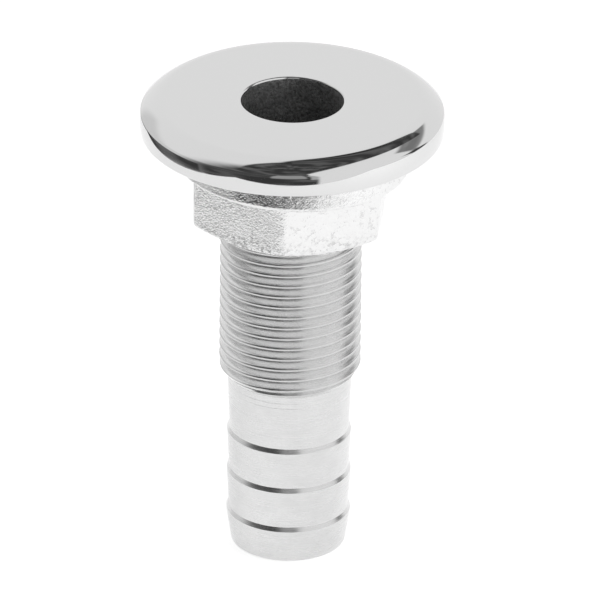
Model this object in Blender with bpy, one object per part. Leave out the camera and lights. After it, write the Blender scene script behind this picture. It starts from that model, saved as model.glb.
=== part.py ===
"""Thru hull fitting for 3/4 in hose: a one-piece mushroom-head body and its flanged hex nut.

Metres, +Z up. The part stands on the end of its hose tail; the origin is the centre of that end face.
"""

import math

import bmesh
import bpy
from mathutils import Vector

MM = 0.001

# overall
LENGTH = 76.2 * MM
BORE_R = 7.95 * MM

# mushroom head: its section from the rim of the bore outward and down, as (normal from, to, arc length),
# with the angles measured from straight up
HEAD_T = 5.3 * MM
HEAD_R = 23.8 * MM
RIM_FILLET = 0.35 * MM
HEAD_SECTION = (
    (0.0, 0.5, 11.6 * MM, 2),
    (0.5, 24.0, 1.6 * MM, 3),
    (24.0, 45.0, 2.25 * MM, 3),
    (45.0, 82.0, 0.45 * MM, 3),
    (82.0, 98.0, 2.85 * MM, 4),
    (98.0, 180.0, 0.6 * MM, 3),
)

# straight thread, 7/8-14 UNF, right hand
THREAD_R = 11.1 * MM
THREAD_ROOT_R = 10.03 * MM
PITCH = 1.814 * MM
CREST_SHARE = 0.16
THREAD_START = 7.6 * MM
THREAD_TURNS = 20.4
CHAMFER_START = 45.3 * MM
CHAMFER_END = 47.15 * MM

# hose tail
NECK_R = 9.72 * MM
BARB_R = 9.75 * MM
BARB_STEP = 0.35 * MM
BARB_RISE = 0.7 * MM
BARB_DEPTHS = (57.0 * MM, 63.85 * MM, 70.7 * MM)
TAIL_END_R = 9.0 * MM
TAIL_EDGE = 0.25 * MM

# flanged hex nut
NUT_TOP = 7.35 * MM
NUT_COLLAR_END = 10.7 * MM
NUT_END = 20.2 * MM
COLLAR_R = 18.25 * MM
NUT_BORE_R = 11.42 * MM
NUT_BORE_CHAMFER = 0.7 * MM
NUT_EDGE = 0.3 * MM
HALF_FLATS_TOP = 14.8 * MM
DRAFT = math.radians(2.6)
NUT_FACE_R = 14.0 * MM
NUT_CHAMFER = math.radians(22)
CORNER_ROUND = 1.2 * MM
NUT_TURN = math.radians(-5.4)

SEGMENTS = 36
FACE_ANGLES = (-27.9, -20.0, -10.0, 0.0, 10.0, 20.0, 27.9)


def height(depth):
    """Height above the tail end of a point this far below the crown of the head."""
    return LENGTH - depth


def clear_scene():
    for obj in list(bpy.data.objects):
        bpy.data.objects.remove(obj, do_unlink=True)


def ring(bm, radius, z, segments=SEGMENTS):
    step = 2 * math.pi / segments
    return [
        bm.verts.new((radius * math.cos(i * step), radius * math.sin(i * step), z))
        for i in range(segments)
    ]


def band(bm, upper, lower):
    """Quads between two rings of one count; the outside is to the right going down from upper to lower."""
    count = len(upper)
    for i in range(count):
        j = (i + 1) % count
        bm.faces.new((upper[i], lower[i], lower[j], upper[j]))


def swept(start, sections):
    """Points of a section that turns evenly through each stretch, from start onward and down."""
    r, z = start
    points = [start]
    for first, last, length, steps in sections:
        for i in range(steps):
            angle = math.radians(first + (last - first) * (i + 0.5) / steps)
            r += length / steps * math.cos(angle)
            z -= length / steps * math.sin(angle)
            points.append((r, z))
    return points


def head_profile():
    """From the rim of the bore, over the crown and down the edge, to the start of the thread."""
    rim = (BORE_R, height(RIM_FILLET))
    fillet = swept(rim, ((-90.0, 0.0, RIM_FILLET * math.pi / 2, 3),))
    crown = swept((fillet[-1][0], LENGTH), HEAD_SECTION)
    widest = max(r for r, _ in crown)
    lowest = min(z for _, z in crown)
    spread = (HEAD_R - crown[0][0]) / (widest - crown[0][0])
    drop = HEAD_T / (LENGTH - lowest)
    points = [(crown[0][0] + (r - crown[0][0]) * spread, LENGTH - (LENGTH - z) * drop) for r, z in crown]
    return fillet[:-1] + points + [(THREAD_ROOT_R, height(HEAD_T))]


def tail_profile():
    """From the chamfer at the end of the thread, over the three barbs, to the end of the bore."""
    points = [(NECK_R, height(CHAMFER_END))]
    for depth in BARB_DEPTHS:
        points.append((BARB_R - BARB_STEP, height(depth - BARB_RISE)))
        points.append((BARB_R, height(depth)))
        points.append((BARB_R, height(depth + 0.45 * MM)))
    points.append((TAIL_END_R, TAIL_EDGE))
    points.append((TAIL_END_R - TAIL_EDGE, 0.0))
    points.append((BORE_R, 0.0))
    return points


def chamfer_limit(z):
    """Largest radius allowed by the conical chamfer at the end of the thread."""
    share = (height(CHAMFER_START) - z) / (CHAMFER_END - CHAMFER_START)
    return THREAD_R - max(share, 0.0) * (THREAD_R - NECK_R)


def thread_lines(bm):
    """Vertices of the helical thread: one row of (root, crest, crest) per step, and the last root line."""
    steps = int(THREAD_TURNS * SEGMENTS)
    flank = (1 - CREST_SHARE) / 2
    offsets = (0.0, flank, flank + CREST_SHARE)
    rows = []
    for i in range(steps + 1 + SEGMENTS):
        angle = 2 * math.pi * i / SEGMENTS
        fade = min(1.0, i / 18.0, max(steps - i, 0) / 18.0)
        row = []
        for k, share in enumerate(offsets):
            z = height(THREAD_START) - PITCH * (i / SEGMENTS + share)
            r = THREAD_ROOT_R if k == 0 else THREAD_ROOT_R + fade * (THREAD_R - THREAD_ROOT_R)
            r = min(r, max(chamfer_limit(z), THREAD_ROOT_R))
            if k == 0 or i <= steps:
                row.append(bm.verts.new((r * math.cos(-angle), r * math.sin(-angle), z)))
        rows.append(row)
    return rows, steps


def thread(bm, upper, lower):
    """Right-hand helical thread between two plain rings; its angles run backward as it goes down."""
    rows, steps = thread_lines(bm)
    for i in range(steps):
        a, b = rows[i], rows[i + 1]
        bm.faces.new((a[0], b[0], b[1], a[1]))
        bm.faces.new((a[1], b[1], b[2], a[2]))
        bm.faces.new((a[2], b[2], rows[i + 1 + SEGMENTS][0], rows[i + SEGMENTS][0]))
    join_top(bm, rows, upper)
    join_bottom(bm, rows, steps, lower)


def at_step(ring_verts, i):
    return ring_verts[-i % SEGMENTS]


def join_top(bm, rows, upper):
    for i in range(SEGMENTS - 1):
        bm.faces.new((at_step(upper, i), at_step(upper, i + 1), rows[i + 1][0], rows[i][0]))
    pivot = rows[SEGMENTS - 1][0]
    chain = [at_step(upper, SEGMENTS - 1), at_step(upper, 0), *rows[0], rows[SEGMENTS][0]]
    for a, b in zip(chain, chain[1:]):
        bm.faces.new((pivot, a, b))


def join_bottom(bm, rows, steps, lower):
    for i in range(steps + 1, steps + SEGMENTS):
        bm.faces.new((rows[i][0], rows[i + 1][0], at_step(lower, i + 1), at_step(lower, i)))
    pivot = rows[steps + 1][0]
    last = [at_step(lower, steps + 1), at_step(lower, steps), rows[steps + SEGMENTS][0]]
    chain = last + [rows[steps][2], rows[steps][1], rows[steps][0]]
    for a, b in zip(chain, chain[1:]):
        bm.faces.new((pivot, a, b))


def finish_mesh(bm, name, material, sharp_deg):
    bmesh.ops.recalc_face_normals(bm, faces=bm.faces)
    mesh = bpy.data.meshes.new(name)
    bm.to_mesh(mesh)
    bm.free()
    mesh.shade_smooth()
    mesh.set_sharp_from_angle(angle=math.radians(sharp_deg))
    obj = bpy.data.objects.new(name, mesh)
    obj.data.materials.append(material)
    bpy.context.scene.collection.objects.link(obj)
    return obj


def thru_hull_body(material):
    """Head, threaded barrel and barbed hose tail: one casting with a straight bore from end to end."""
    bm = bmesh.new()
    head = [ring(bm, r, z) for r, z in head_profile()]
    for upper, lower in zip(head, head[1:]):
        band(bm, upper, lower)
    tail = [ring(bm, r, z) for r, z in tail_profile()]
    for upper, lower in zip(tail, tail[1:]):
        band(bm, upper, lower)
    thread(bm, head[-1], tail[0])
    band(bm, tail[-1], head[0])
    return finish_mesh(bm, "thru_hull_body", material, 35)


def nut_angles():
    """Vertex angles of the nut with their angle from the middle of their flat; None marks a hex corner."""
    angles = []
    for face in range(6):
        middle = math.radians(face * 60 + 30) + NUT_TURN - math.pi / 2
        for degrees in FACE_ANGLES:
            angles.append((middle + math.radians(degrees), math.radians(degrees)))
        angles.append((middle + math.radians(30), None))
    return angles


def hex_radius(half_flats, phi):
    if phi is None:
        return half_flats / math.cos(math.radians(30)) - 0.1547 * CORNER_ROUND
    return half_flats / math.cos(phi)


def hex_edge(phi):
    """Radius and height where the drafted flat meets the chamfer of the lower face."""
    slope = math.tan(NUT_CHAMFER) * math.tan(DRAFT)
    bottom = HALF_FLATS_TOP - (NUT_END - NUT_COLLAR_END) * math.tan(DRAFT)
    if phi is None:
        secant = 1 / math.cos(math.radians(30))
        base = (bottom - NUT_FACE_R * slope) * secant - 0.1547 * CORNER_ROUND
        r = base / (1 - slope * secant)
    else:
        r = (bottom - NUT_FACE_R * slope) / (math.cos(phi) - slope)
    return r, height(NUT_END) + (r - NUT_FACE_R) * math.tan(NUT_CHAMFER)


def nut_rings():
    """Sections of the nut from its bore, under its lower face and up its outside, back to its bore."""
    low, collar, top = height(NUT_END), height(NUT_COLLAR_END), height(NUT_TOP)
    inner = NUT_BORE_R + NUT_BORE_CHAMFER
    return [
        lambda phi: (NUT_BORE_R, low + NUT_BORE_CHAMFER),
        lambda phi: (inner, low),
        lambda phi: (NUT_FACE_R, low),
        hex_edge,
        lambda phi: (hex_radius(HALF_FLATS_TOP, phi), collar),
        lambda phi: (COLLAR_R - NUT_EDGE, collar),
        lambda phi: (COLLAR_R, collar + NUT_EDGE),
        lambda phi: (COLLAR_R, top - NUT_EDGE),
        lambda phi: (COLLAR_R - NUT_EDGE, top),
        lambda phi: (inner, top),
        lambda phi: (NUT_BORE_R, top - NUT_BORE_CHAMFER),
    ]


def hex_nut(material):
    """Cast hex nut with a round collar on the side that bears on the hull."""
    bm = bmesh.new()
    angles = nut_angles()
    rings = []
    for section in nut_rings():
        verts = []
        for angle, phi in angles:
            r, z = section(phi)
            verts.append(bm.verts.new((r * math.cos(angle), r * math.sin(angle), z)))
        rings.append(verts)
    for upper, lower in zip(rings, rings[1:] + rings[:1]):
        band(bm, upper, lower)
    nut = finish_mesh(bm, "hex_nut", material, 20)
    seat = Vector((0.0, 0.0, height(NUT_TOP)))
    for vertex in nut.data.vertices:
        vertex.co -= seat
    nut.location = seat
    return nut


def metal(name, color, roughness):
    material = bpy.data.materials.new(name)
    material.use_nodes = True
    shader = material.node_tree.nodes["Principled BSDF"]
    shader.inputs["Base Color"].default_value = (*color, 1.0)
    shader.inputs["Metallic"].default_value = 1.0
    shader.inputs["Roughness"].default_value = roughness
    return material


def main():
    clear_scene()
    thru_hull_body(metal("polished_stainless", (0.72, 0.72, 0.71), 0.18))
    hex_nut(metal("cast_stainless", (0.78, 0.78, 0.77), 0.45))


main()
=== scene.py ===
import math

import bmesh
import bpy
import numpy as np
from mathutils import Matrix, Vector, noise


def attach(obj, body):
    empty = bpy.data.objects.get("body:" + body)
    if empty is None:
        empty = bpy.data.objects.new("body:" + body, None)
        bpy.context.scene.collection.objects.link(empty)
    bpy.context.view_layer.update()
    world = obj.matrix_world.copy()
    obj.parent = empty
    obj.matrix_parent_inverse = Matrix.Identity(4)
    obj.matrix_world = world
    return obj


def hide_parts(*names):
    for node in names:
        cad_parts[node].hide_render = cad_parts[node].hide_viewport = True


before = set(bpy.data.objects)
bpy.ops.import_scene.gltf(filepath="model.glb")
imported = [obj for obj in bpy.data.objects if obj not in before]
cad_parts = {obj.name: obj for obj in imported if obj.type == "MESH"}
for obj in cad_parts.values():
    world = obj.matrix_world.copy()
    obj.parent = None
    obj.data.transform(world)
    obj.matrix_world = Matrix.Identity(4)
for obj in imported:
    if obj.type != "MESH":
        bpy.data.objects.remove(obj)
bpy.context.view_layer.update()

# Looks of a stainless thru hull fitting: a mirror-polished head, a turned thread and hose tail, and a
# sand-cast nut. Metres, +Z up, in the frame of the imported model: the fitting stands on its tail at z = 0.
# A depth is measured down from the crown of the head, and height(depth) turns it into a z.

MM = 0.001
DEGREES = 180.0 / math.pi
LENGTH = 76.2 * MM

# ---------------------------------------------------------------- sizes of the body
BODY_COLUMNS = 180
BORE_R = 7.95 * MM
BORE_STEP = 0.5 * MM
BORE_WAVE = 2.2 * MM
BORE_WAVE_HEIGHT = 0.10 * MM
BORE_GRAIN_HEIGHT = 0.03 * MM

RIM_FILLET = 0.35 * MM
HEAD_R = 23.8 * MM
HEAD_T = 5.3 * MM
HEAD_CORNER = 0.5 * MM
# stretches of the head's outline from the rim of the bore outward and round to the underside: slope at
# the start and at the end in degrees, length before it is fitted to HEAD_R and HEAD_T, and steps
HEAD_SECTION = (
    (0.0, 0.5, 11.6 * MM, 24),
    (0.5, 24.0, 1.6 * MM, 20),
    (24.0, 45.0, 2.25 * MM, 20),
    (45.0, 82.0, 0.45 * MM, 14),
    (82.0, 98.0, 2.85 * MM, 16),
    (98.0, 180.0, 0.6 * MM, 12),
)

THREAD_R = 11.1 * MM
THREAD_ROOT_R = 10.0 * MM
PITCH = 1.814 * MM
THREAD_START = 7.4 * MM
THREAD_RUN_IN = 1.6 * MM
CHAMFER_START = 45.3 * MM
CHAMFER_END = 47.15 * MM
LAST_ROOT = CHAMFER_END - 0.75 * MM
LAST_ROOT_RUN = 0.35 * MM
# half a thread, from its root to its crest: share of the pitch, and share of the thread's depth there
HALF_THREAD = (
    (0.0, 0.0),
    (0.015, 0.015),
    (0.04, 0.06),
    (0.165, 0.415),
    (0.29, 0.77),
    (0.32, 0.845),
    (0.35, 0.905),
    (0.38, 0.948),
    (0.41, 0.977),
    (0.44, 0.993),
    (0.48, 1.0),
)
THREAD_FORM = HALF_THREAD + tuple((1.0 - u, h) for u, h in reversed(HALF_THREAD[1:]))

NECK_R = 9.72 * MM
BARB_R = 9.75 * MM
BARB_STEP = 0.35 * MM
BARB_RISE = 0.7 * MM
BARB_LAND = 0.45 * MM
BARB_EASE = 0.02 * MM
BARB_DEPTHS = (57.0 * MM, 63.85 * MM, 70.7 * MM)
BARB_STOPS_MM = (-0.76, -0.7, -0.64, -0.05, 0.0, 0.06, 0.45)
TAIL_STEP = 0.3 * MM
TAIL_EDGE = 0.3 * MM
TAIL_END_R = 9.0 * MM
# rings left by the tool: depth below the crown and depth of the cut
TOOL_MARKS = ((48.1 * MM, 0.03 * MM), (49.0 * MM, 0.03 * MM), (71.4 * MM, 0.05 * MM))
TOOL_MARK_WIDTH = 0.11 * MM
TOOL_MARK_STOPS_MM = (-0.2, -0.1, -0.05, 0.0, 0.05, 0.1, 0.2)

# ---------------------------------------------------------------- sizes of the nut
NUT_COLUMNS = 320
NUT_TOP = 7.35 * MM
NUT_COLLAR_END = 10.7 * MM
NUT_END = 20.2 * MM
NUT_TURN = math.radians(-5.4)
NUT_TILT = math.radians(2.0)
NUT_BORE_R = 11.42 * MM
NUT_BORE_CHAMFER = 0.7 * MM
NUT_FACE_R = 14.0 * MM
NUT_CHAMFER = math.radians(22.0)
HALF_FLATS_TOP = 14.8 * MM
DRAFT = math.radians(2.6)
CORNER_ROUND = 1.7 * MM
FLAT_EDGE = 0.35 * MM
FLAT_FILLET = 0.6 * MM
FLAT_FILLET_MID = 0.17 * MM
COLLAR_R = 18.25 * MM
COLLAR_DRAFT = 0.3 * MM
COLLAR_EDGE = 0.5 * MM
COLLAR_EDGE_MID = 0.15 * MM

SAND_SIZE = 0.75 * MM
FINE_SAND_SIZE = 0.42 * MM
SAND_HEIGHT = 0.03 * MM
SKIN_WAVE = 4.0 * MM
SKIN_WAVE_HEIGHT = 0.05 * MM
PARTING_AZIMUTH = math.radians(-2.5)
PARTING_WIDTH = 0.25 * MM
PARTING_HEIGHT = 0.1 * MM

# ---------------------------------------------------------------- studio
# Patches of the studio in degrees: left and right azimuth (0 toward -Y, + to the right), low and high
# elevation, softness of the edges, and how dark or how lit it is.
DARK_ROOM = (-120.0, 20.0, -24.0, 95.0)
ROOM_FADE = (-104.0, -62.0)
DARK_PATCHES = (
    (-150.0, -70.0, -26.0, -10.0, 3.0, 1.0),
    (-150.0, -70.0, -10.0, 28.0, 5.0, 0.2),
    (112.0, 152.0, 31.0, 47.0, 2.0, 0.8),
    (97.0, 116.0, 2.0, 34.0, 2.0, 1.0),
    (-142.0, -82.0, -95.0, -12.0, 3.0, 0.72),
)
LIT_PATCHES = (
    (-15.0, 11.0, -10.0, 62.0, 1.5, 0.36),
    (14.0, 24.0, -13.0, 57.0, 1.5, 0.5),
)
STREAK_AZIMUTH = 40.0
STREAK_ELEVATION = 7.0
STREAK_LIGHT = 0.12
DARKEST = 0.05
# The dark gap in the ceiling, with the ceiling as a plane one unit up. Each (a, b, c) is the half of it
# where a * (how far to the right) + b * (how far toward -Y) + c is positive.
CEILING_LOWEST = 0.12
GAP_NEAR_SIDES = ((0.77, 0.64, 0.245), (0.98, 0.18, 0.107))
GAP_FAR_SIDES = ((-0.88, -0.48, 0.317), (0.0, 1.0, 1.12))

FLOOR_Z = -0.2 * MM
FLOOR_GLOW = 0.58
FLOOR_SHEET = (-0.164, 0.6, -0.196, 0.6)
FLOOR_REACH = 3.0
SIDE_LIGHT_SIZE = 0.15
SIDE_LIGHT_POWER = 0.15
SIDE_LIGHT_PLACE = (0.25, -0.12, 0.25)

CAMERA_ELEVATION = math.radians(26.6)
CAMERA_DISTANCE = 2.6
CAMERA_FIELD = 93.75 * MM
CAMERA_ROLL = math.radians(0.6)
CAMERA_TARGET = (1.5 * MM, 0.0, 41.4 * MM)
SENSOR_WIDTH = 36.0


def height(depth):
    """Height above the tail end of a point this far below the crown of the head."""
    return LENGTH - depth


# ---------------------------------------------------------------- mesh tools
def link(name, data):
    """A new object of the scene."""
    obj = bpy.data.objects.new(name, data)
    bpy.context.scene.collection.objects.link(obj)
    return obj


def mesh_object(name, verts, faces, slots, materials, weld=2e-6, sharp=32.0):
    """Object from faces with one material number each; points closer than weld become one."""
    mesh = bpy.data.meshes.new(name)
    mesh.from_pydata([tuple(v) for v in verts], [], faces)
    for material in materials:
        mesh.materials.append(material)
    mesh.polygons.foreach_set("material_index", slots)
    bm = bmesh.new()
    bm.from_mesh(mesh)
    bmesh.ops.remove_doubles(bm, verts=bm.verts, dist=weld)
    bmesh.ops.dissolve_degenerate(bm, edges=bm.edges, dist=weld)
    bmesh.ops.recalc_face_normals(bm, faces=bm.faces)
    bm.to_mesh(mesh)
    bm.free()
    mesh.shade_smooth()
    mesh.set_sharp_from_angle(angle=math.radians(sharp))
    return link(name, mesh)


def ring_angles(columns):
    """Angles of the columns of a ring, clockwise as seen from above."""
    return [-2 * math.pi * i / columns for i in range(columns)]


def on_ring(r, z, angle):
    return (r * math.cos(angle), r * math.sin(angle), z)


def grid_faces(rows, columns, base, slot):
    """Quads between rows of points that each go once round the axis, all of one material."""
    faces = []
    for j in range(rows - 1):
        for i in range(columns):
            k = (i + 1) % columns
            a, b = base + j * columns, base + (j + 1) * columns
            faces.append((a + i, b + i, b + k, a + k))
    return faces, [slot] * len(faces)


def swept(start, sections):
    """Points of a section that turns evenly through each stretch, from start onward and down."""
    r, z = start
    points = [start]
    for first, last, length, steps in sections:
        for i in range(steps):
            angle = math.radians(first + (last - first) * (i + 0.5) / steps)
            r += length / steps * math.cos(angle)
            z -= length / steps * math.sin(angle)
            points.append((r, z))
    return points


def resample(points, step):
    """The same broken line with points no further apart than step."""
    fine = [points[0]]
    for (r0, z0), (r1, z1) in zip(points, points[1:]):
        count = max(1, math.ceil(math.hypot(r1 - r0, z1 - z0) / step))
        for i in range(1, count + 1):
            fine.append((r0 + (r1 - r0) * i / count, z0 + (z1 - z0) * i / count))
    return fine


# ---------------------------------------------------------------- body
def head_line():
    """From inside the bore over its rim, the crown and the edge, to the barrel under the head."""
    rim = (BORE_R, height(RIM_FILLET))
    fillet = swept(rim, ((-90.0, 0.0, RIM_FILLET * math.pi / 2, 8),))
    crown = swept((fillet[-1][0], LENGTH), HEAD_SECTION)
    inner = crown[0][0]
    widest = max(r for r, _ in crown)
    lowest = min(z for _, z in crown)
    spread = (HEAD_R - inner) / (widest - inner)
    drop = HEAD_T / (LENGTH - lowest)
    shaped = [(inner + (r - inner) * spread, LENGTH - (LENGTH - z) * drop) for r, z in crown]
    corner = [(THREAD_ROOT_R + HEAD_CORNER, height(HEAD_T)), (THREAD_ROOT_R, height(HEAD_T + HEAD_CORNER))]
    return fillet[:-1] + shaped + corner


def tail_radius(depth):
    """Outside radius of the neck and hose tail, down to the rounded edge of its end."""
    depths, radii = [CHAMFER_END], [NECK_R]
    for barb in BARB_DEPTHS:
        depths += [barb - BARB_RISE, barb, barb + BARB_LAND]
        radii += [BARB_R - BARB_STEP, BARB_R, BARB_R - BARB_EASE]
    depths.append(LENGTH - TAIL_EDGE)
    radii.append(TAIL_END_R)
    r = float(np.interp(depth, depths, radii))
    for mark, cut in TOOL_MARKS:
        r -= cut * math.exp(-(((depth - mark) / TOOL_MARK_WIDTH) ** 2))
    return r


def tail_line():
    """From the end of the thread's chamfer down the hose tail and round into the bore."""
    stops = set(np.arange(CHAMFER_END, LENGTH - TAIL_EDGE, TAIL_STEP).tolist())
    for barb in BARB_DEPTHS:
        stops |= {barb + offset * MM for offset in BARB_STOPS_MM}
    for mark, _ in TOOL_MARKS:
        stops |= {mark + offset * MM for offset in TOOL_MARK_STOPS_MM}
    line = [(tail_radius(depth), height(depth)) for depth in sorted(stops)]
    line += [(TAIL_END_R, TAIL_EDGE), (TAIL_END_R - 0.1 * MM, 0.08 * MM), (TAIL_END_R - 0.3 * MM, 0.0)]
    line += [(BORE_R + 0.25 * MM, 0.0), (BORE_R + 0.05 * MM, 0.1 * MM), (BORE_R, TAIL_EDGE)]
    return line


def thread_radius(share, depth):
    """Radius of the thread at a share of the pitch from its root, this far below the crown."""
    form = np.interp(share % 1.0, [u for u, _ in THREAD_FORM] + [1.0], [h for _, h in THREAD_FORM] + [0.0])
    run_in = min(max((depth - THREAD_START) / THREAD_RUN_IN, 0.0), 1.0)
    r = THREAD_ROOT_R + run_in * form * (THREAD_R - THREAD_ROOT_R)
    cone = (depth - CHAMFER_START) / (CHAMFER_END - CHAMFER_START)
    limit = THREAD_R - max(cone, 0.0) * (THREAD_R - NECK_R)
    r = min(r, limit)
    closing = (depth - LAST_ROOT) / LAST_ROOT_RUN
    if closing > 0.0:
        r += (limit - r) * min(closing, 1.0)
    return r


def thread_rows():
    """Points of the right-hand helical thread. Rows follow the helix and stop at the plain rings."""
    top, bottom = HEAD_T + HEAD_CORNER, CHAMFER_END
    shares = [u for u, _ in THREAD_FORM]
    turns = math.ceil((bottom - top) / PITCH) + 2
    verts = []
    for turn in range(-1, turns):
        for share in shares:
            for i, angle in enumerate(ring_angles(BODY_COLUMNS)):
                depth = top + PITCH * (turn + share + i / BODY_COLUMNS)
                depth = min(max(depth, top), bottom)
                u = (depth - top) / PITCH - i / BODY_COLUMNS
                r = NECK_R if depth == bottom else thread_radius(u, depth)
                verts.append(on_ring(r, height(depth), angle))
    return verts, len(verts) // BODY_COLUMNS, len(shares)


def thread_faces(rows, per_turn, base):
    """Quads of the helix: the last column joins the first one a turn further down."""
    faces = []
    for j in range(rows - 1):
        for i in range(BODY_COLUMNS):
            k, below = (i + 1, 0) if i + 1 < BODY_COLUMNS else (0, per_turn)
            a = base + j * BODY_COLUMNS + i
            b = base + (j + 1) * BODY_COLUMNS + i
            c = base + min(j + 1 + below, rows - 1) * BODY_COLUMNS + k
            d = base + min(j + below, rows - 1) * BODY_COLUMNS + k
            faces.append((a, b, c, d))
    return faces


def uneven_bore(x, y, z):
    """A point of the bore moved to where the as-cast wall stands."""
    point = Vector((x, y, z)) * (1.0 / BORE_WAVE)
    wobble = BORE_WAVE_HEIGHT * noise.noise(point) + BORE_GRAIN_HEIGHT * noise.noise(point * 3.1)
    shift = wobble / math.hypot(x, y)
    return (x * (1 + shift), y * (1 + shift), z)


def body_mesh(materials):
    """The body: turned lines for its head, tail and bore, and the helical thread between them."""
    polished, threaded, turned, cast = range(4)
    verts, faces, slots = [], [], []

    def lathe(line, slot):
        base = len(verts)
        for r, z in line:
            verts.extend(on_ring(r, z, angle) for angle in ring_angles(BODY_COLUMNS))
        new, marks = grid_faces(len(line), BODY_COLUMNS, base, slot)
        faces.extend(new)
        slots.extend(marks)
        return base

    head = head_line()
    lathe(head, polished)
    points, rows, per_turn = thread_rows()
    new = thread_faces(rows, per_turn, len(verts))
    verts.extend(points)
    faces.extend(new)
    slots.extend([threaded] * len(new))
    tail = tail_line()
    lathe(tail, turned)
    first = lathe(resample([tail[-1], head[0]], BORE_STEP), cast)
    for n in range(first + 2 * BODY_COLUMNS, len(verts) - 2 * BODY_COLUMNS):
        verts[n] = uneven_bore(*verts[n])
    return mesh_object("thru_hull_body_fine", verts, faces, slots, materials)


# ---------------------------------------------------------------- nut
def rounded_hex(half_flats, phi):
    """Radius of a hexagon with rounded corners; phi is the angle from the middle of a flat."""
    phi = (phi + math.pi / 6) % (math.pi / 3) - math.pi / 6
    centre = (half_flats - CORNER_ROUND) / math.cos(math.pi / 6)
    edge = math.atan2(centre * 0.5, half_flats)
    if abs(phi) <= edge:
        return half_flats / math.cos(phi)
    off = math.pi / 6 - abs(phi)
    return centre * math.cos(off) + math.sqrt(CORNER_ROUND**2 - (centre * math.sin(off)) ** 2)


def half_flats(z):
    """Half the distance between opposite flats at this height, which the draft narrows downward."""
    return HALF_FLATS_TOP - (height(NUT_COLLAR_END) - z) * math.tan(DRAFT)


def chamfer_edge(phi, low):
    """Radius and height at which the chamfer under the nut meets the hexagon at one angle."""
    edge_z = low
    for _ in range(4):
        r = rounded_hex(half_flats(edge_z), phi)
        edge_z = low + max(r - NUT_FACE_R, 0.05 * MM) * math.tan(NUT_CHAMFER)
    return r, edge_z


def nut_section(phi):
    """Section of the nut at one angle, from its bore under its lower face and up its outside.

    Corners of the section, each with the number of steps to the next one.
    """
    low, collar, top = height(NUT_END), height(NUT_COLLAR_END), height(NUT_TOP)
    inner = NUT_BORE_R + NUT_BORE_CHAMFER
    crown = COLLAR_R - COLLAR_DRAFT
    r, edge_z = chamfer_edge(phi, low)
    wall_low = rounded_hex(half_flats(edge_z + FLAT_EDGE), phi)
    wall_top = rounded_hex(half_flats(collar - FLAT_FILLET), phi)
    return (
        (NUT_BORE_R, low + NUT_BORE_CHAMFER, 3),
        (inner, low, 5),
        (NUT_FACE_R, low, 6),
        (r - 0.45 * MM, edge_z - 0.2 * MM, 1),
        (r - 0.12 * MM, edge_z + 0.02 * MM, 1),
        (wall_low, edge_z + FLAT_EDGE, 24),
        (wall_top, collar - FLAT_FILLET, 2),
        (wall_top + FLAT_FILLET_MID, collar - FLAT_FILLET_MID, 2),
        (wall_top + FLAT_FILLET, collar, 5),
        (COLLAR_R - COLLAR_EDGE, collar, 2),
        (COLLAR_R - COLLAR_EDGE_MID, collar + COLLAR_EDGE_MID, 2),
        (COLLAR_R, collar + COLLAR_EDGE, 10),
        (crown, top - COLLAR_EDGE, 2),
        (crown - COLLAR_EDGE_MID, top - COLLAR_EDGE_MID, 2),
        (crown - COLLAR_EDGE, top, 16),
        (inner, top, 3),
        (NUT_BORE_R, top - NUT_BORE_CHAMFER, 20),
    )


def nut_line(phi):
    """All the points of the nut's section at one angle."""
    corners = nut_section(phi)
    points = []
    for (r0, z0, count), (r1, z1, _) in zip(corners, corners[1:] + corners[:1]):
        points += [(r0 + (r1 - r0) * i / count, z0 + (z1 - z0) * i / count) for i in range(count)]
    return points


def cast_skin(point, azimuth):
    """Height of the cast skin at a point: fine sand grain on slow waves, and the line of the mould."""
    if math.hypot(point.x, point.y) < NUT_BORE_R + 0.2 * MM:
        return 0.0
    sand = noise.noise(point / SAND_SIZE) + 0.6 * noise.noise(point / FINE_SAND_SIZE + Vector((7, 3, 1)))
    waves = noise.noise(point / SKIN_WAVE + Vector((1, 9, 4)))
    lift = SAND_HEIGHT * sand + SKIN_WAVE_HEIGHT * waves - SKIN_WAVE_HEIGHT
    on_collar = point.z > height(NUT_COLLAR_END) + 0.2 * MM
    across = (azimuth - PARTING_AZIMUTH) * COLLAR_R / PARTING_WIDTH
    if on_collar and abs(across) < 3:
        lift += PARTING_HEIGHT * math.exp(-across * across)
    return lift


def nut_column(angle):
    """Points down one side of the nut, moved out along their normals by the cast skin."""
    line = nut_line(angle + math.pi / 2 - NUT_TURN - math.pi / 6)
    azimuth = (angle + math.pi / 2 + math.pi) % (2 * math.pi) - math.pi
    column = []
    for n, (r, z) in enumerate(line):
        before, after = line[n - 1], line[(n + 1) % len(line)]
        out = Vector((after[1] - before[1], before[0] - after[0])).normalized()
        lift = cast_skin(Vector(on_ring(r, z, angle)), azimuth)
        column.append(on_ring(r + out.x * lift, z + out.y * lift, angle))
    return column


def nut_mesh(material):
    """The nut, a little askew on its thread."""
    columns = [nut_column(angle) for angle in ring_angles(NUT_COLUMNS)]
    verts = [point for row in zip(*columns) for point in row]
    verts += verts[:NUT_COLUMNS]
    faces, slots = grid_faces(len(columns[0]) + 1, NUT_COLUMNS, 0, 0)
    nut = mesh_object("hex_nut_fine", verts, faces, slots, [material], sharp=80.0)
    centre = Vector((0.0, 0.0, height((NUT_TOP + NUT_END) / 2)))
    tilt = Matrix.Translation(centre) @ Matrix.Rotation(NUT_TILT, 4, "Y") @ Matrix.Translation(-centre)
    nut.data.transform(tilt)
    return nut


# ---------------------------------------------------------------- nodes
def add(tree, kind, settings=None, inputs=None):
    """A node with its settings and input values; an input given as a socket is linked."""
    node = tree.nodes.new(kind)
    for key, value in (settings or {}).items():
        setattr(node, key, value)
    for key, value in (inputs or {}).items():
        if isinstance(value, bpy.types.NodeSocket):
            tree.links.new(value, node.inputs[key])
        else:
            node.inputs[key].default_value = value
    return node


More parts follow.
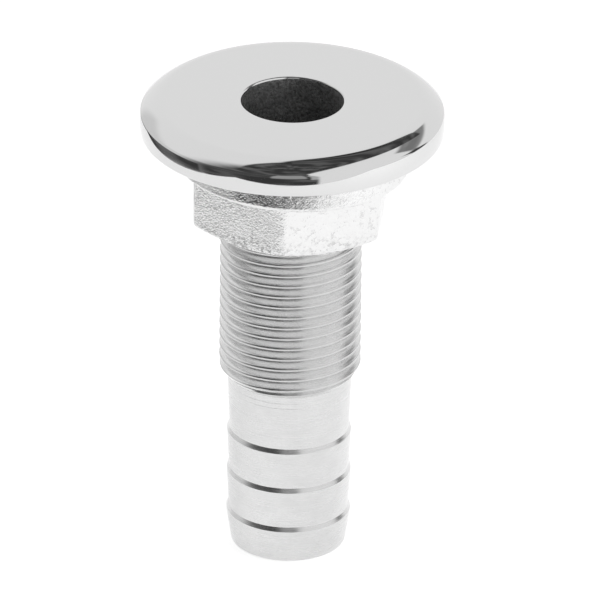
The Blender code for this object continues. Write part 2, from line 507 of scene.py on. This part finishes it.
def calc(tree, operation, first, *rest):
    """The values joined one after another by a maths operation."""
    total = first
    for value in rest:
        total = add(tree, "ShaderNodeMath", {"operation": operation}, {0: total, 1: value}).outputs[0]
    return total


def remap(tree, value, low, high, to_low=0.0, to_high=1.0, smooth=True):
    settings = {"interpolation_type": "SMOOTHSTEP" if smooth else "LINEAR", "clamp": True}
    inputs = {"Value": value, "From Min": low, "From Max": high, "To Min": to_low, "To Max": to_high}
    return add(tree, "ShaderNodeMapRange", settings, inputs).outputs["Result"]


def grain(tree, vector, size, detail=2.0, roughness=0.5):
    inputs = {"Vector": vector, "Scale": 1.0 / size, "Detail": detail, "Roughness": roughness}
    return add(tree, "ShaderNodeTexNoise", None, inputs).outputs["Fac"]


def bump(tree, relief, distance, strength=1.0):
    inputs = {"Height": relief, "Distance": distance, "Strength": strength}
    return add(tree, "ShaderNodeBump", None, inputs).outputs["Normal"]


def split(tree, vector):
    """The x, y and z of a vector."""
    return add(tree, "ShaderNodeSeparateXYZ", None, {"Vector": vector}).outputs


def combine(tree, x, y, z):
    return add(tree, "ShaderNodeCombineXYZ", None, {"X": x, "Y": y, "Z": z}).outputs["Vector"]


# ---------------------------------------------------------------- materials
def new_material(name, grey, roughness, metallic=1.0):
    material = bpy.data.materials.new(name)
    material.use_nodes = True
    tree = material.node_tree
    shader = tree.nodes["Principled BSDF"]
    shader.inputs["Base Color"].default_value = (grey, grey, grey, 1.0)
    shader.inputs["Metallic"].default_value = metallic
    shader.inputs["Roughness"].default_value = roughness
    coords = add(tree, "ShaderNodeTexCoord").outputs["Object"]
    return material, tree, shader, coords


def finish(tree, shader, roughness, normal, tone=None):
    """Link the roughness and normal to the shader, and the tone as a grey if there is one."""
    if tone is not None:
        grey = add(tree, "ShaderNodeCombineColor", None, {0: tone, 1: tone, 2: tone}).outputs["Color"]
        tree.links.new(grey, shader.inputs["Base Color"])
    tree.links.new(roughness, shader.inputs["Roughness"])
    tree.links.new(normal, shader.inputs["Normal"])


def polished_steel():
    """Mirror finish with the slow waves a buffing wheel leaves and a trace of haze."""
    material, tree, shader, coords = new_material("polished_stainless", 0.67, 0.05)
    waves = grain(tree, coords, 7.0 * MM, 1.0)
    haze = grain(tree, coords, 3.0 * MM, 3.0)
    finish(tree, shader, remap(tree, haze, 0.35, 0.7, 0.035, 0.075), bump(tree, waves, 0.02 * MM, 0.5))
    return material


def turned_steel(name, grey, sharpest, dullest, depth, crest):
    """Fresh from the lathe: fine rings round the axis, and patches that differ a little in grey.

    Sharpest and dullest are the ends of its roughness, depth is that of the rings, and crest is how
    bright the crest of the thread is beside its flanks.
    """
    material, tree, shader, coords = new_material(name, grey, sharpest)
    x, y, z = split(tree, coords)
    stretched = combine(tree, calc(tree, "MULTIPLY", x, 0.03), calc(tree, "MULTIPLY", y, 0.03), z)
    rings = grain(tree, stretched, 0.2 * MM, 3.0, 0.6)
    patches = grain(tree, coords, 2.4 * MM, 3.0)
    mixed = calc(tree, "ADD", calc(tree, "MULTIPLY", rings, 0.6), calc(tree, "MULTIPLY", patches, 0.4))
    flat = add(tree, "ShaderNodeVectorMath", {"operation": "MULTIPLY"}, {0: coords, 1: (1.0, 1.0, 0.0)})
    radius = add(tree, "ShaderNodeVectorMath", {"operation": "LENGTH"}, {0: flat.outputs["Vector"]})
    # toward the crest of the thread the grey is multiplied by crest, so the crest is darker than its flanks
    crest_tone = remap(tree, radius.outputs["Value"], THREAD_R - 0.22 * MM, THREAD_R - 0.04 * MM, 1.0, crest)
    tone = calc(tree, "MULTIPLY", remap(tree, mixed, 0.3, 0.7, grey - 0.03, grey + 0.03), crest_tone)
    roughness = remap(tree, rings, 0.25, 0.75, sharpest, dullest)
    finish(tree, shader, roughness, bump(tree, rings, depth), tone)
    return material


def cast_bore():
    """Dark as-cast wall of the bore: oxide skin with a coarse grain."""
    material, tree, shader, coords = new_material("cast_bore", 0.3, 0.5)
    coarse = grain(tree, coords, 0.5 * MM, 4.0, 0.65)
    tone = remap(tree, coarse, 0.3, 0.7, 0.18, 0.62)
    roughness = remap(tree, coarse, 0.3, 0.7, 0.65, 0.4)
    finish(tree, shader, roughness, bump(tree, coarse, 0.12 * MM), tone)
    return material


def cast_steel():
    """Tumbled sand-cast skin with fine pits, worn smoother on the collar and to the right.

    Painted shade darkens the foot of the nut in speckles where it is rough.
    """
    material, tree, shader, coords = new_material("cast_stainless", 0.76, 0.25)
    x, _, z = split(tree, coords)
    collar, foot = height(NUT_COLLAR_END), height(NUT_END)

    right = remap(tree, x, -2.4 * MM, 0.8 * MM)
    on_collar = calc(
        tree, "MULTIPLY", remap(tree, z, collar, collar + 0.5 * MM), remap(tree, x, -10.5 * MM, -6.5 * MM)
    )
    rough_side = calc(tree, "SUBTRACT", 1.0, calc(tree, "MULTIPLY", right, 0.6))
    rough_collar = calc(tree, "SUBTRACT", 1.0, calc(tree, "MULTIPLY", on_collar, 0.62))
    rough = calc(tree, "MINIMUM", rough_side, rough_collar)

    sand = grain(tree, coords, 0.3 * MM, 2.0, 0.6)
    pits = grain(tree, coords, 0.7 * MM, 3.0, 0.6)
    areas = grain(tree, coords, 5.0 * MM, 2.0)
    pitted = calc(tree, "MULTIPLY", remap(tree, pits, 0.52, 0.66), remap(tree, areas, 0.45, 0.6), 0.35)
    level = calc(tree, "SUBTRACT", sand, pitted)

    # painted shade: darker speckles near the foot of the nut, most where the skin is rough
    near_foot = remap(tree, z, foot + 3.6 * MM, foot + 0.8 * MM)
    painted_foot_shade = calc(tree, "MULTIPLY", near_foot, rough, remap(tree, pits, 0.45, 0.56), 0.22)
    tone = calc(tree, "SUBTRACT", remap(tree, level, 0.15, 0.5, 0.66, 0.78), painted_foot_shade)
    relief = bump(tree, calc(tree, "MULTIPLY", level, rough), 0.18 * MM)
    finish(tree, shader, remap(tree, sand, 0.3, 0.7, 0.16, 0.08), relief, tone)
    return material


# ---------------------------------------------------------------- studio
def patch(tree, azimuth, elevation, left, right, low, high, soft=2.0, amount=1.0):
    """This amount inside a patch of the studio given by its azimuths and elevations, in degrees."""
    return calc(
        tree,
        "MULTIPLY",
        remap(tree, azimuth, left - soft, left + soft),
        remap(tree, azimuth, right + soft, right - soft),
        calc(
            tree,
            "MULTIPLY",
            remap(tree, elevation, low - soft, low + soft),
            remap(tree, elevation, high + soft, high - soft),
        ),
        amount,
    )


def ceiling_gap(tree, x, toward, z):
    """1 in the dark gap of the ceiling, for a direction given by its parts."""
    level = calc(tree, "MAXIMUM", z, CEILING_LOWEST)
    across = calc(tree, "DIVIDE", x, level)
    near = calc(tree, "DIVIDE", toward, level)

    def beyond(a, b, c, soft=0.02):
        total = calc(tree, "ADD", calc(tree, "MULTIPLY", across, a), calc(tree, "MULTIPLY", near, b), c)
        return remap(tree, total, -soft, soft)

    near_sides = calc(tree, "MAXIMUM", *(beyond(*side) for side in GAP_NEAR_SIDES))
    far_sides = [beyond(*side) for side in GAP_FAR_SIDES]
    return calc(tree, "MULTIPLY", near_sides, *far_sides, remap(tree, z, 0.2, 0.3))


def studio_light(tree):
    """How light the studio is in each direction: white walls, a dark room in front, dark gap overhead."""
    direction = add(tree, "ShaderNodeTexCoord").outputs["Generated"]
    x, y, z = split(tree, direction)
    toward = calc(tree, "MULTIPLY", y, -1.0)
    azimuth = calc(tree, "MULTIPLY", calc(tree, "ARCTAN2", x, toward), DEGREES)
    elevation = calc(tree, "MULTIPLY", calc(tree, "ARCSINE", z, 0.0), DEGREES)

    room = patch(tree, azimuth, elevation, *DARK_ROOM)
    room = calc(tree, "MULTIPLY", room, remap(tree, azimuth, *ROOM_FADE))
    patches = [patch(tree, azimuth, elevation, *edges) for edges in DARK_PATCHES]
    dark = calc(tree, "MAXIMUM", room, ceiling_gap(tree, x, toward, z), *patches)

    across = calc(tree, "DIVIDE", azimuth, STREAK_AZIMUTH)
    up = calc(tree, "DIVIDE", elevation, STREAK_ELEVATION)
    streaks = remap(tree, grain(tree, combine(tree, across, up, 0.0), 1.0), 0.4, 0.7, 0.0, STREAK_LIGHT)
    windows = [patch(tree, azimuth, elevation, *edges) for edges in LIT_PATCHES]
    lit = calc(tree, "MAXIMUM", streaks, *windows)
    dark = calc(tree, "SUBTRACT", dark, calc(tree, "MULTIPLY", dark, lit))
    return remap(tree, dark, 0.0, 1.0, 1.0, DARKEST, smooth=False)


def studio_world():
    """The studio lights the scene and shows in reflections; the backdrop behind it is plain white."""
    world = bpy.data.worlds.new("studio")
    bpy.context.scene.world = world
    world.use_nodes = True
    tree = world.node_tree
    tree.nodes.clear()
    white = (1.0, 1.0, 1.0, 1.0)
    studio = add(tree, "ShaderNodeBackground", None, {"Color": white, "Strength": studio_light(tree)})
    plain = add(tree, "ShaderNodeBackground", None, {"Color": white, "Strength": 1.0})
    seen = add(tree, "ShaderNodeLightPath").outputs["Is Camera Ray"]
    mix = add(tree, "ShaderNodeMixShader", None, {0: seen, 1: studio.outputs[0], 2: plain.outputs[0]})
    out = add(tree, "ShaderNodeOutputWorld")
    tree.links.new(mix.outputs[0], out.inputs["Surface"])


def pale_floor():
    """Matt white with a glow of its own, so that the floor runs into the white backdrop."""
    material, _, shader, _ = new_material("pale_floor", 0.9, 0.9, metallic=0.0)
    shader.inputs["Specular IOR Level"].default_value = 0.0
    shader.inputs["Emission Color"].default_value = (1.0, 1.0, 1.0, 1.0)
    shader.inputs["Emission Strength"].default_value = FLOOR_GLOW
    return material


def sheet_of_floor(name, left, right, front, back, material):
    mesh = bpy.data.meshes.new(name)
    corners = [(left, front), (right, front), (right, back), (left, back)]
    mesh.from_pydata([(x, y, FLOOR_Z) for x, y in corners], [], [(0, 1, 2, 3)])
    mesh.materials.append(material)
    obj = link(name, mesh)
    return obj


def studio_floor():
    """A pale sheet under the fitting; the floor round it goes on, but isn't seen in reflections."""
    pale = pale_floor()
    left, right, front, back = FLOOR_SHEET
    sheet_of_floor("floor", left, right, front, back, pale)
    around = (
        ("floor_left", -FLOOR_REACH, left, -FLOOR_REACH, FLOOR_REACH),
        ("floor_right", right, FLOOR_REACH, -FLOOR_REACH, FLOOR_REACH),
        ("floor_front", left, right, -FLOOR_REACH, front),
        ("floor_back", left, right, back, FLOOR_REACH),
    )
    for name, *edges in around:
        sheet_of_floor(name, *edges, pale).visible_glossy = False


def side_light():
    """A soft light over the floor to the right. It lights the floor, and the steel shows the floor."""
    data = bpy.data.lights.new("side_light", "AREA")
    data.shape = "DISK"
    data.size = SIDE_LIGHT_SIZE
    data.energy = SIDE_LIGHT_POWER
    obj = link("side_light", data)
    obj.location = SIDE_LIGHT_PLACE
    obj.visible_camera = False
    obj.visible_glossy = False


def camera():
    """A long lens from in front and above, rolled a little."""
    data = bpy.data.cameras.new("camera")
    data.sensor_width = SENSOR_WIDTH
    data.lens = SENSOR_WIDTH * CAMERA_DISTANCE / CAMERA_FIELD
    data.clip_start, data.clip_end = 0.1, 20.0
    obj = link("camera", data)
    back = Vector((0.0, -math.cos(CAMERA_ELEVATION), math.sin(CAMERA_ELEVATION)))
    aim = (-back).to_track_quat("-Z", "Y").to_matrix().to_4x4()
    place = Matrix.Translation(Vector(CAMERA_TARGET) + back * CAMERA_DISTANCE)
    obj.matrix_world = place @ aim @ Matrix.Rotation(CAMERA_ROLL, 4, "Z")
    bpy.context.scene.camera = obj


threads = turned_steel("threaded_stainless", 0.73, 0.2, 0.3, 0.014 * MM, 0.8)
tail = turned_steel("turned_stainless", 0.66, 0.2, 0.3, 0.012 * MM, 1.0)
body = body_mesh([polished_steel(), threads, tail, cast_bore()])
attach(body, "fitting")
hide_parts("thru_hull_body")

nut = nut_mesh(cast_steel())
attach(nut, "nut")
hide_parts("hex_nut")

studio_world()
studio_floor()
side_light()
camera()
bpy.context.scene.view_settings.view_transform = "Standard"
